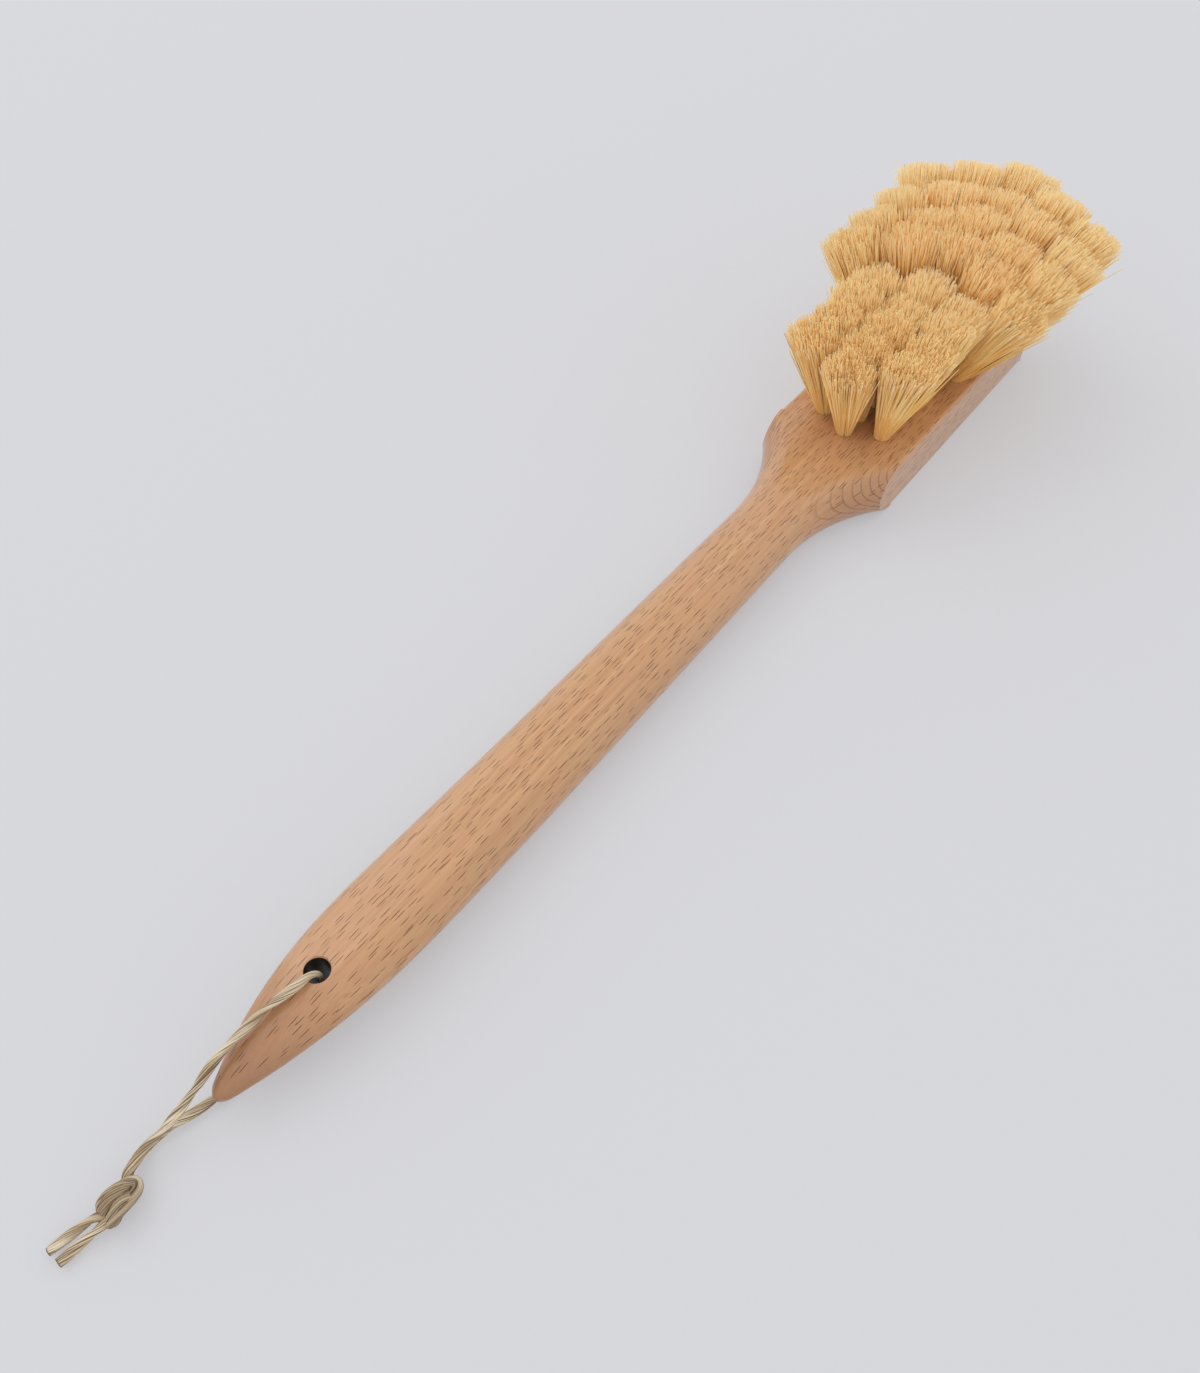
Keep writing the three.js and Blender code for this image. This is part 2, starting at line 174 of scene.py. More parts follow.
# %% [markdown]
# ## Helpers for pieces
# Every piece is a mesh that keeps its place in its vertices, so its object stays at the origin.
# A long piece grows ring by ring: its end face is extruded, and the new corners are put in place.
# A curve with a bevel would be shorter to write, but it keeps one shape of section all along.


# %% Piece helpers
def new_object(name, bm):
    """An object with the given mesh, in the scene."""
    mesh = bpy.data.meshes.new(name)
    bm.to_mesh(mesh)
    bm.free()
    made = bpy.data.objects.new(name, mesh)
    bpy.context.scene.collection.objects.link(made)
    return made


def new_piece(name, bm, body, finish, stands_for):
    """An object that is a piece of the brush: its finish, body, slot and the nodes it replaces."""
    piece = new_object(name, bm)
    piece.data.materials.append(finish)
    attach(piece, body)
    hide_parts(*stands_for)
    return piece


def first_ring(bm, corners):
    """A face with the given number of corners, numbered in a layer that every later ring copies."""
    number = bm.verts.layers.int.new("corner")
    bmesh.ops.create_circle(bm, cap_ends=True, segments=corners, radius=1)
    bm.faces.ensure_lookup_table()
    for k, vert in enumerate(bm.faces[0].verts):
        vert[number] = k
    return bm.faces[0], number


def next_ring(bm, face, is_start):
    """Extrudes the end face. The face that it leaves behind only stays at the start."""
    grown = bmesh.ops.extrude_face_region(bm, geom=[face])["geom"]
    if not is_start:
        bmesh.ops.delete(bm, geom=[face], context="FACES_ONLY")
    return next(item for item in grown if isinstance(item, bmesh.types.BMFace))


print("piece helpers ready")

# %% [markdown]
# ## Smooth routes
# The twine follows a Catmull-Rom curve, because such a curve passes through every chosen point. A
# Bezier curve would need two handles at each point as well.

# %% Smooth routes
CURVE_STEPS = 40


def smooth_route(points, spacing):
    """Evenly spaced points on a centripetal Catmull-Rom curve through the given points."""
    p = np.array(points, float)
    p = np.vstack([2 * p[0] - p[1], p, 2 * p[-1] - p[-2]])
    knots = np.concatenate([[0], np.cumsum(np.linalg.norm(np.diff(p, axis=0), axis=1) ** 0.5)])
    fine = []
    for k in range(1, len(p) - 2):
        t0, t1, t2, t3 = knots[k - 1:k + 3]
        for t in np.linspace(t1, t2, CURVE_STEPS, endpoint=False):
            a1 = ((t1 - t) * p[k - 1] + (t - t0) * p[k]) / (t1 - t0)
            a2 = ((t2 - t) * p[k] + (t - t1) * p[k + 1]) / (t2 - t1)
            a3 = ((t3 - t) * p[k + 1] + (t - t2) * p[k + 2]) / (t3 - t2)
            b1 = ((t2 - t) * a1 + (t - t0) * a2) / (t2 - t0)
            b2 = ((t3 - t) * a2 + (t - t1) * a3) / (t3 - t1)
            fine.append(((t2 - t) * b1 + (t - t1) * b2) / (t2 - t1))
    fine = np.array(fine + [p[-2]])
    along = np.concatenate([[0], np.cumsum(np.linalg.norm(np.diff(fine, axis=0), axis=1))])
    count = max(2, int(round(along[-1] / spacing)) + 1)
    even = np.linspace(0, along[-1], count)
    return np.stack([np.interp(even, along, fine[:, axis]) for axis in range(3)], axis=1)


print("routes have", CURVE_STEPS, "steps between two points")

# %% [markdown]
# ## Twine
# The twine is two plies twisted together, about 2.8 mm across. It runs through the hanging hole,
# the run over the top drops onto the run underneath beyond the tip, both go into an overhand knot,
# and the cut tails stick out. It is modelled as two strands from the middle of the hole to a bare
# end. In the knot each strand runs through the core, turns up at the far end, comes back along
# the right, curls over the top to the left, dives under and leaves. A simulation could drop a cord
# on the table, but a knot doesn't tie itself, so the points are chosen one by one. They are measured
# from the hole's axis and up from the table, in millimetres.

# %% Twine points
TOP_RUN = [
    (-14.2, 2.1, 20.7), (-24, 3.5, 19.1), (-33.7, 4.4, 16.4), (-40, 4.2, 14), (-47.8, 5.2, 8.9),
    (-54.6, 6.3, 5.5), (-59, 6.6, 4.9), (-62.4, 5.9, 5.2),
]
UNDER_RUN = [
    (-14.4, 1.4, 2.7), (-26, 2.6, 1.8), (-36, 3.4, 1.7), (-43.5, 5, 1.7),
    (-51.3, 7.4, 1.7), (-57.7, 8.2, 1.7), (-62, 7.4, 2.1),
]
TOP_KNOT = [
    (-65.7, 4.9, 5.2), (-68.7, 3, 3.8), (-71.9, 1.3, 3), (-74.5, -0.3, 3), (-75.7, -1.1, 4.2),
    (-74.4, -1.4, 5.3), (-71.5, -1.1, 5.7), (-68.5, -0.6, 5.4), (-66.2, 0.2, 5.3), (-65.3, 1.5, 5.7),
    (-66.6, 2.9, 6.5), (-69.3, 3.9, 6.7), (-72.3, 4.5, 5.7), (-74.6, 4.5, 4), (-75.3, 3.8, 2.2),
    (-73.6, 3, 1.5), (-72.1, 2, 1.8), (-73.2, 1.6, 3.2), (-75.6, 2.7, 3.6),
]
UNDER_KNOT = [
    (-65.7, 5.4, 2.5), (-68.7, 3.6, 1.6), (-71.9, 2, 1.5), (-74.2, 0.8, 2), (-74.9, 0.3, 3.9),
    (-73.8, 0.2, 5.9), (-71.4, 0.5, 6.9), (-69, 0.6, 5.6), (-67.2, 0.8, 3.6), (-66.6, 1.8, 3.2),
    (-67.2, 2.5, 4.6), (-69.1, 2.5, 7), (-71.9, 2.8, 7.4), (-74.2, 3, 5.8), (-75.1, 3, 4),
    (-74, 2.5, 2.4), (-72.5, 1.4, 2.6), (-73.4, 0.8, 3.6), (-75.8, 0.8, 3.6),
]
LEFT_TAIL = [(-78, 4.3, 3.2), (-80.2, 5, 2.7), (-84.4, 6.2, 2), (-89.6, 7.3, 1.7)]
RIGHT_TAIL = [(-77.9, 1, 3.2), (-81.7, 1.8, 2.5), (-85.6, 2.6, 1.9), (-89.7, 3.2, 1.7)]
top_points = TOP_RUN + TOP_KNOT + LEFT_TAIL
under_points = UNDER_RUN + UNDER_KNOT + RIGHT_TAIL
print(len(top_points), "points over the top and", len(under_points), "underneath")

# %% Twine routes
CORD_DIAMETER = 2.8 * MM
ROUTE_STEP = 0.6 * MM
BEND_STEPS = 5
# The twine's turn at the hole's rim, in millimetres.
CORD_CLEARANCE = 0.4
CORD_BEND = 5.8
LOOP_SIDE = -0.05
HALF_HOLE = 7.15


def round_the_rim(way):
    """From the hole's middle, up (1) or down (-1) the hole and round its rim."""
    middle = hole.z / MM + way * (HALF_HOLE + CORD_CLEARANCE + CORD_DIAMETER / MM / 2 - CORD_BEND)
    bend = [(LOOP_SIDE - CORD_BEND * (1 - math.cos(t)), 0, middle + way * CORD_BEND * math.sin(t))
            for t in np.linspace(0, math.pi / 2, BEND_STEPS)]
    return [(LOOP_SIDE, 0, hole.z / MM), *bend]


def twine_route(steps):
    """An even route through steps that are measured from the hole, in millimetres."""
    return smooth_route([(hole.x + MM * x, MM * y, MM * z) for x, y, z in steps], ROUTE_STEP)


top_route = twine_route(round_the_rim(1) + top_points)
under_route = twine_route(round_the_rim(-1) + under_points)
steps_between = [np.diff(route, axis=0) for route in (top_route, under_route)]
route_length = [float(np.linalg.norm(steps, axis=1).sum()) for steps in steps_between]
print("twine lengths", route_length)

# %% [markdown]
# ### Twine mesh
# A twisted pair is two round plies side by side that turn about each other. Two tubes could be
# wound round each other, but one closed tube is simpler to lay and to shade. Seen in section it is
# a peanut, so one ring with that outline is extruded along the route and turned a little at each
# step. The ring's own angle and the distance along are kept as an attribute: a noise on them
# then follows the fibres round the twist. In the knot the plies are pressed against each other,
# so the section is a little fuller there and closes the gaps.

# %% Twine section
PLY_RADIUS = 0.92
PLY_OFFSET = 0.48


def ply_outline(angle):
    """Distance from the axis to two overlapping plies, in millimetres."""
    along = PLY_OFFSET * abs(math.cos(angle))
    across = PLY_OFFSET * math.sin(angle)
    return along + math.sqrt(PLY_RADIUS ** 2 - across ** 2)


print("twine section", [round(ply_outline(math.radians(a)), 2) for a in (0, 45, 90)])

# %% Twine tube
TWIST_PITCH = 28 * MM
RING_POINTS = 20


def twine_bmesh(route, fullness):
    """A closed tube. fullness(k) is the share of the usual thickness at route point k."""
    bm = bmesh.new()
    lay = bm.verts.layers.float_vector.new("lay")
    cut = bm.verts.layers.float.new("cut")
    face, corner = first_ring(bm, RING_POINTS)
    angles = [2 * math.pi * k / RING_POINTS for k in range(RING_POINTS)]
    outline = [MM * ply_outline(a) for a in angles]
    tangents = np.gradient(route, axis=0)
    tangents /= np.linalg.norm(tangents, axis=1)[:, None]
    spacing = float(np.linalg.norm(route[1] - route[0]))
    normal = Vector(tangents[0]).orthogonal().normalized()
    for k, (point, tangent) in enumerate(zip(route, tangents)):
        if k:
            face = next_ring(bm, face, k == 1)
        ahead = Vector(tangent)
        normal = (normal - ahead * normal.dot(ahead)).normalized()
        side = ahead.cross(normal)
        twist = 2 * math.pi * k * spacing / TWIST_PITCH
        for vert in face.verts:
            angle, radius = angles[vert[corner]], outline[vert[corner]]
            turn = angle + twist
            reach = radius * fullness(k)
            vert.co = Vector(point) + reach * (math.cos(turn) * normal + math.sin(turn) * side)
            vert[lay] = (radius * math.cos(angle), radius * math.sin(angle), k * spacing)
            vert[cut] = float(k == len(route) - 1)
    bmesh.ops.recalc_face_normals(bm, faces=bm.faces)
    for each in bm.faces:
        each.smooth = len(each.verts) == 4
    return bm


print("one turn of the plies in", TWIST_PITCH / MM, "mm")

# %% Fuller in the knot
# The knot lies between these places along x from the hole, in millimetres.
KNOT_FROM = -76.5
KNOT_TO = -66
KNOT_SLOPE = 3
KNOT_SWELL = 0.1


def full_in_knot(route):
    """The twine is pressed flat where the knot is drawn tight, which fills the knot out."""
    along = (route[:, 0] - hole.x) / MM
    outside = np.maximum(KNOT_FROM - along, along - KNOT_TO) / KNOT_SLOPE
    return lambda k: float(1 + KNOT_SWELL - KNOT_SWELL * np.clip(outside[k], 0, 1))


print("fuller in the knot by", KNOT_SWELL)

# %% [markdown]
# ### Twine finish
# Natural twine is pale straw with fine darker lines between its fibres, a few nearly black ones,
# and grey cut ends. A noise in space would lie across the turns, so three noises read the lay
# attribute instead, stretched along the twine. The knot is browner, because little light gets in
# between its turns.

# %% Twine finish
TWINE_TAN = colour(204, 182, 148)
TWINE_CREAM = colour(238, 222, 194)
TWINE_LINES = colour(128, 102, 72)
TWINE_HAIRS = colour(84, 66, 48)
TWINE_KNOT = colour(112, 84, 54)
TWINE_CUT = colour(112, 92, 76)
KNOT_FADES_IN = (-79 * MM, -75 * MM)
KNOT_FADES_OUT = (-67 * MM, -63 * MM)
twine, twine_shader, start = new_finish("twine", Roughness=0.85)
lay = start.node("ShaderNodeAttribute", {"attribute_name": "lay"}, out=1)


def lay_noise(steps, detail):
    """Noise on the lay, with so many steps to the metre across, across and along the twine."""
    scaled = start.node("ShaderNodeVectorMath", {"operation": "MULTIPLY"}, {0: lay, 1: steps})
    return start.node("ShaderNodeTexNoise", None, {"Vector": scaled, "Scale": 1, "Detail": detail})


fibres = lay_noise((3400, 3400, 60), 3)
patches = lay_noise((300, 300, 60), 1)
hairs = lay_noise((1700, 1700, 45), 1)
straw = patches.ramp(0.35, 0.7).mix(TWINE_TAN, TWINE_CREAM)
straw = fibres.ramp(0.4, 0.53).mix(TWINE_LINES, straw)
straw = hairs.ramp(0.31, 0.36).mix(TWINE_HAIRS, straw)
place = start.node("ShaderNodeTexCoord", None, None, out="Object")
beyond = start.node("ShaderNodeSeparateXYZ", None, {"Vector": place}, out=0) - hole.x
in_knot = beyond.ramp(*KNOT_FADES_IN) * beyond.ramp(*KNOT_FADES_OUT, 1, 0)
straw = (in_knot * 0.4).mix(straw, TWINE_KNOT)
cut = start.node("ShaderNodeAttribute", {"attribute_name": "cut"}, out=2)
feed(twine_shader, "Base Color", cut.ramp(0.3, 0.9).mix(straw, TWINE_CUT))
ridges = start.node("ShaderNodeBump", None, {"Strength": 0.6, "Distance": 0.3 * MM, "Height": fibres})
feed(twine_shader, "Normal", ridges)
print("twine finish made")

# %% Twine pieces
for name, route, length, stands_for in (
    ("twine_top_strand", top_route, route_length[0], ("cord_top_run", "cord_tail_left", "cord_knot")),
    ("twine_under_strand", under_route, route_length[1], ("cord_under_run", "cord_tail_right")),
):
    strand = twine_bmesh(route, full_in_knot(route))
    piece = new_piece(name, strand, "hanging_loop", twine, stands_for)
    print(name, len(piece.data.polygons), "faces")

# %% [markdown]
# ## Beech body
# Handle and head are sawn from one board and rounded on a shaper: a nose, a grip with a round
# side, a flare, and a head with flat sides. A box with a Subdivision Surface would round every edge
# alike. Here a section is drawn at the tip and extruded station by station, the flat sides are cut
# with a plane, and the cut leaves the curved crease that such a brush has where the round flare
# meets the flat side.

# %% Sizes of the wood
BOARD = wood_high.z
HEAD_HALF = wood_high.y
HANDLE = 300 * MM
NECK_HALF = 12.95 * MM
FLARE_RADIUS = 72 * MM
FLARE_PAST_SIDE = 0.3 * MM
BULLNOSE = 10 * MM
shoulder_x = wood_low.x + HANDLE
flare_depth = HEAD_HALF - NECK_HALF
neck_x = shoulder_x - math.sqrt(FLARE_RADIUS ** 2 - (FLARE_RADIUS - flare_depth) ** 2)
flare_end = FLARE_RADIUS - flare_depth - BULLNOSE - FLARE_PAST_SIDE
flare_run = math.sqrt(FLARE_RADIUS ** 2 - flare_end ** 2)
print("neck at", round(neck_x, 4), "shoulder at", round(shoulder_x, 4))

# %% Outline of the wood
TIP_HALF = 2 * MM
BELLY_HALF = 14.65 * MM
BELLY_FROM_TIP = 72 * MM
NOSE_POWER = 2.5
NOSE_DROP = 9 * MM
NOSE_LENGTH = 60 * MM
HEEL_RISE = 7.2 * MM
HEEL_LENGTH = 130 * MM


def half_width(x):
    """Half of the outline's width: a pointed nose, a slight taper and a round flare."""
    from_tip = x - wood_low.x
    if from_tip < BELLY_FROM_TIP:
        rest = 1 - from_tip / BELLY_FROM_TIP
        return TIP_HALF + (BELLY_HALF - TIP_HALF) * (1 - rest ** NOSE_POWER)
    if x < neck_x:
        share = (from_tip - BELLY_FROM_TIP) / (neck_x - wood_low.x - BELLY_FROM_TIP)
        return BELLY_HALF + (NECK_HALF - BELLY_HALF) * share
    run = min(x - neck_x, flare_run)
    return NECK_HALF + FLARE_RADIUS - math.sqrt(FLARE_RADIUS ** 2 - run ** 2)


def top_z(x):
    """Height of the top: level, and lower towards the nose."""
    rest = max(0, 1 - (x - wood_low.x) / NOSE_LENGTH)
    return BOARD - NOSE_DROP * rest ** NOSE_POWER


def underside_z(x):
    """Height of the underside: on the table, and raised towards the tip."""
    rest = max(0, 1 - (x - wood_low.x) / HEEL_LENGTH)
    return HEEL_RISE * rest ** 2 * (3 - 2 * rest)


print("half widths at tip and neck", [round(half_width(x), 4) for x in (wood_low.x, neck_x)])

# %% Section of the wood
TIP_ROUND = 3 * MM
WIDEST_ROUND = 0.9
QUARTER_STEPS = 14


def wood_section(x):
    """Points round the section at x: flat above and below, with a round side."""
    near_tip = max(0, 1 - (x - wood_low.x) / TIP_ROUND)
    rounding = math.sqrt(1 - near_tip ** 2)
    width = half_width(x) * rounding
    round_part = min(BULLNOSE, WIDEST_ROUND * width)
    middle = (top_z(x) + underside_z(x)) / 2
    half = (top_z(x) - underside_z(x)) / 2 * rounding
    points = []
    for quarter in range(4):
        side = 1 if quarter in (0, 3) else -1
        for step in range(QUARTER_STEPS + 1):
            if step == 0 and quarter % 2 == 0:
                continue
            turn = (quarter + step / QUARTER_STEPS) * math.pi / 2
            y = side * (width - round_part) + round_part * math.cos(turn)
            points.append(Vector((x, y, middle + half * math.sin(turn))))
    return points


print(len(wood_section(neck_x)), "points round a section")

# %% Wood mesh
NOSE_STATIONS = 44
GRIP_STATIONS = 24
FLARE_STATIONS = 60
FIRST_STATION = 0.02
NOSE_CROWDING = 1.8
TOUCHING = 1e-7


def stations():
    """Where the sections are drawn: close together at the nose and along the flare."""
    shares = np.linspace(FIRST_STATION, 1, NOSE_STATIONS, endpoint=False)
    nose_shade = wood_low.x + BELLY_FROM_TIP * shares ** NOSE_CROWDING
    grip = np.linspace(wood_low.x + BELLY_FROM_TIP, neck_x, GRIP_STATIONS, endpoint=False)
    flare = np.linspace(neck_x, neck_x + flare_run, FLARE_STATIONS)
    return [*nose_shade, *grip, *flare, wood_high.x]


def cut_flat(bm, side):
    """Cuts the outline off at the board's edge and closes the cut with one flat face."""
    everything = bm.verts[:] + bm.edges[:] + bm.faces[:]
    plane = {"plane_co": (0, side * HEAD_HALF, 0), "plane_no": (0, side, 0)}
    cut = bmesh.ops.bisect_plane(bm, geom=everything, dist=TOUCHING, clear_outer=True, **plane)
    rim = [item for item in cut["geom_cut"] if isinstance(item, bmesh.types.BMEdge)]
    bmesh.ops.edgeloop_fill(bm, edges=rim)


def wood_bmesh():
    """The board before it is drilled: sections from tip to end, with the sides cut flat."""
    bm = bmesh.new()
    places = stations()
    face, corner = first_ring(bm, len(wood_section(places[0])))
    for k, x in enumerate(places):
        if k:
            face = next_ring(bm, face, k == 1)
        outline = wood_section(x)
        for vert in face.verts:
            vert.co = outline[vert[corner]]
    bmesh.ops.recalc_face_normals(bm, faces=bm.faces)
    for side in (1, -1):
        cut_flat(bm, side)
    return bm


wood = wood_bmesh()
print("wood", len(wood.verts), "points")

# %% [markdown]
# ### Rounded head
# The head's far corners are round, and sanding eases its long edges. A Bevel modifier would take
# every sharp edge, also the crease at the flare, so the edges are picked by where they lie and by
# how their two faces are tilted.

# %% Rounded head
END_CORNER = 10 * MM
CORNER_STEPS = 12
EASED_EDGE = 1.6 * MM
EASED_STEPS = 4
EASED_BEFORE_SHOULDER = 4 * MM
UPRIGHT = 0.02
LEVEL = 0.9995
SAME_PLACE = 1e-6


def round_the_head(bm):
    """Rounds the far corners and eases the head's long edges, as sanding does."""
    def at_corner(vert):
        at_end = abs(vert.co.x - wood_high.x) < SAME_PLACE
        return at_end and abs(abs(vert.co.y) - HEAD_HALF) < SAME_PLACE

    uprights = [e for e in bm.edges if all(map(at_corner, e.verts)) and e.calc_length() > BOARD / 2]
    bmesh.ops.bevel(bm, geom=uprights, offset=END_CORNER, affect="EDGES", segments=CORNER_STEPS,
                    profile=0.5, material=-1)
    bm.normal_update()

    def is_rim(edge):
        if len(edge.link_faces) != 2 or edge.verts[0].co.x < shoulder_x - EASED_BEFORE_SHOULDER:
            return False
        tilts = sorted(abs(face.normal.z) for face in edge.link_faces)
        return tilts[0] < UPRIGHT and tilts[1] > LEVEL

    rims = [edge for edge in bm.edges if is_rim(edge)]
    bmesh.ops.bevel(bm, geom=rims, offset=EASED_EDGE, affect="EDGES", segments=EASED_STEPS,
                    profile=0.5, material=-1)
    print(len(uprights), "corners and", len(rims), "edges rounded")


round_the_head(wood)

# %% [markdown]
# ## Where the tufts stand
# A machine drills the holes in staggered columns and fans them out, so that the tips cover more
# than the face does. Near the handle there are three columns of shorter tufts, and beyond them
# five columns of longer ones that lean outwards and past the end. Each hole could be placed by
# hand, but a loop needs only the pitch, the stagger and the leans of the first and last rows.


# %% One tuft
def tuft(x, y, lean, height, spread, tone):
    """A tuft's base on the face, its tip, its two directions across and how pale it is."""
    base = Vector((x, y, BOARD))
    tip = Vector((x + lean, y * spread, BOARD + height))
    axis = (tip - base).normalized()
    along = Vector((0, 1, 0)).cross(axis).normalized()
    across = axis.cross(along)
    return {"base": base, "tip": tip, "axis": axis, "along": along, "across": across, "tone": tone}


print("a tuft has a base, a tip, three directions and a tone")

# %% Near tufts
NEAR_PITCH = 10.4 * MM
NEAR_COLUMN = 12.3 * MM
NEAR_STAGGER = 6.3 * MM
NEAR_COUNT = 5
NEAR_START = shoulder_x + 14.4 * MM
NEAR_HEIGHT = 35.5 * MM
NEAR_SPREAD = 1.5
NEAR_LEANS = (-7 * MM, 10 * MM)
NEAR_TONE = 0.74
near_columns = {-1: [], 0: [], 1: []}
for out, column in near_columns.items():
    first = NEAR_STAGGER if out else 0
    for row in range(NEAR_COUNT - abs(out)):
        along = first + row * NEAR_PITCH
        share = along / ((NEAR_COUNT - 1) * NEAR_PITCH)
        lean = NEAR_LEANS[0] + (NEAR_LEANS[1] - NEAR_LEANS[0]) * share
        x = NEAR_START + along
        column.append(tuft(x, out * NEAR_COLUMN, lean, NEAR_HEIGHT, NEAR_SPREAD, NEAR_TONE))
print("near tufts", [len(column) for column in near_columns.values()])

# %% Far tufts
FAR_PITCH = 12.6 * MM
FAR_COLUMN = 8.9 * MM
FAR_COUNT = 4
FAR_START = NEAR_START + (NEAR_COUNT - 1) * NEAR_PITCH + 12.2 * MM
FAR_HEIGHT = 42.5 * MM
FAR_SPREAD = 2.1
FAR_DOME = 3 * MM
# From the middle column outwards: its shift in rows, then its first and last leans in millimetres.
FAR_COLUMNS = ((1, 10, 30), (0.5, 7, 28), (0, 0, 24))
EDGE_TONE = 0.76
INNER_TONE = 0.54
far_columns = {-2: [], -1: [], 0: [], 1: [], 2: []}
for out, column in far_columns.items():
    late, first_lean, last_lean = FAR_COLUMNS[abs(out)]
    height = FAR_HEIGHT - FAR_DOME * (out / 2) ** 2
    for row in range(FAR_COUNT):
        lean = MM * (first_lean + (last_lean - first_lean) * row / (FAR_COUNT - 1))
        x = FAR_START + (late + row) * FAR_PITCH
        tone = EDGE_TONE if abs(out) == 2 or row == FAR_COUNT - 1 else INNER_TONE
        column.append(tuft(x, out * FAR_COLUMN, lean, height, FAR_SPREAD, tone))
all_tufts = [one for column in (*near_columns.values(), *far_columns.values()) for one in column]
print(len(all_tufts), "tufts in", len(near_columns), "near and", len(far_columns), "far columns")

# %% [markdown]
# ## Drilled holes
# Dark discs could pass for holes from afar, but the twine runs through one hole and the fibres start
# inside the others, so the holes are real: a bit for each tuft and one for the hanging hole are
# joined into a single cutter, and a Boolean modifier takes them out of the wood. The hanging hole's
# rim is eased a little, so its bit is a profile spun round the hole's axis.

# %% Drill bits
HANGING_RADIUS = 3.65 * MM
HANGING_RIM = 0.5 * MM
HANGING_STEPS = 6
HANGING_SIDES = 48
TUFT_RADIUS = 3.2 * MM
TUFT_DEPTH = 12 * MM
TUFT_SIDES = 28
OVERRUN = 3 * MM


def spun_bit(bm, x, low, high):
    """A drill bit for the hanging hole that widens where it leaves the wood."""
    turns = np.linspace(0, math.pi / 2, HANGING_STEPS)
    flare = [(HANGING_RADIUS + HANGING_RIM * (1 - math.cos(t)), HANGING_RIM * (1 - math.sin(t)))
             for t in turns]
    wide = HANGING_RADIUS + HANGING_RIM
    profile = [(0, low - OVERRUN), (wide, low - OVERRUN)]
    profile += [(r, low + inset) for r, inset in reversed(flare)]
    profile += [(r, high - inset) for r, inset in flare]
    profile += [(wide, high + OVERRUN), (0, high + OVERRUN)]
    verts = [bm.verts.new((x + r, 0, z)) for r, z in profile]
    edges = [bm.edges.new(pair) for pair in zip(verts, verts[1:])]
    bmesh.ops.spin(bm, geom=verts + edges, cent=(x, 0, 0), axis=(0, 0, 1), angle=2 * math.pi,
                   steps=HANGING_SIDES, use_merge=True)
    bmesh.ops.remove_doubles(bm, verts=bm.verts, dist=TOUCHING)


def tuft_bit(bm, one):
    """A round bit along a tuft's axis."""
    turn = Matrix((one["along"], one["across"], one["axis"])).transposed().to_4x4()
    middle = one["base"] + one["axis"] * (OVERRUN - TUFT_DEPTH) / 2
    bmesh.ops.create_cone(bm, cap_ends=True, segments=TUFT_SIDES, radius1=TUFT_RADIUS,
                          radius2=TUFT_RADIUS, depth=TUFT_DEPTH + OVERRUN,
                          matrix=Matrix.Translation(middle) @ turn)


bits = bmesh.new()
spun_bit(bits, hole.x, underside_z(hole.x), top_z(hole.x))
for one in all_tufts:
    tuft_bit(bits, one)
bmesh.ops.recalc_face_normals(bits, faces=bits.faces)
print("bits", len(bits.faces), "faces")

# %% Drill the wood
FLAT = 0.9999
cutter = new_object("bits", bits)
blank = new_object("blank", wood)
drill = blank.modifiers.new("drill", "BOOLEAN")
drill.operation = "DIFFERENCE"
drill.solver = "EXACT"
drill.object = cutter
bpy.context.view_layer.update()
evaluated = blank.evaluated_get(bpy.context.evaluated_depsgraph_get())
drilled = bpy.data.meshes.new_from_object(evaluated)
wood = bmesh.new()
wood.from_mesh(drilled)
for leftover in (blank, cutter):
    bpy.data.objects.remove(leftover)
for each in wood.faces:
    each.smooth = max(map(abs, each.normal)) < FLAT
print("drilled wood", len(wood.faces), "faces")

# %% [markdown]
# ### Beech finish
# Beech is pale orange-brown, with short dark flecks along the grain where its rays end, faint
# stripes, and growth rings that show where the cut runs across the grain, on the flare. Stretched
# noise would give soft streaks of any length, while a Voronoi texture gives every stretched cell
# one middle. A fleck is the part of the surface near it, and measuring across the surface keeps
# flecks thin on the round sides too. The rings are flat layers that fade in with the end-grain
# share of the normal. The nose is painted darker towards the tip as shade, the bore is painted
# almost black as the shade inside the hole, and a thin coat stands for the oiled polish.

# %% Grain directions
beech, beech_shader, start = new_finish("beech", IOR=1.3, Coat_Roughness=0.15)
place = start.node("ShaderNodeTexCoord", None, None, out="Object")
facing = start.node("ShaderNodeTexCoord", None, None, out="Normal")


def stretched(scale):
    """Object coordinates, counted in steps of the given lengths in millimetres."""
    steps = tuple(1 / (MM * s) for s in scale)
    return start.node("ShaderNodeVectorMath", {"operation": "MULTIPLY"}, {0: place, 1: steps})


def noise(scale, detail):
    """Noise with steps of the given lengths in millimetres."""
    values = {"Vector": stretched(scale), "Scale": 1, "Detail": detail}
    return start.node("ShaderNodeTexNoise", None, values)


def split(vector):
    """The three parts of a vector as single values."""
    parts = {"Vector": vector}
    return [start.node("ShaderNodeSeparateXYZ", None, parts, out=part) for part in range(3)]


def size_of(value):
    """The value without its sign."""
    return start.node("ShaderNodeMath", {"operation": "ABSOLUTE"}, {0: value})


facing_x, facing_y, facing_z = split(facing)
print("the grain runs along x")

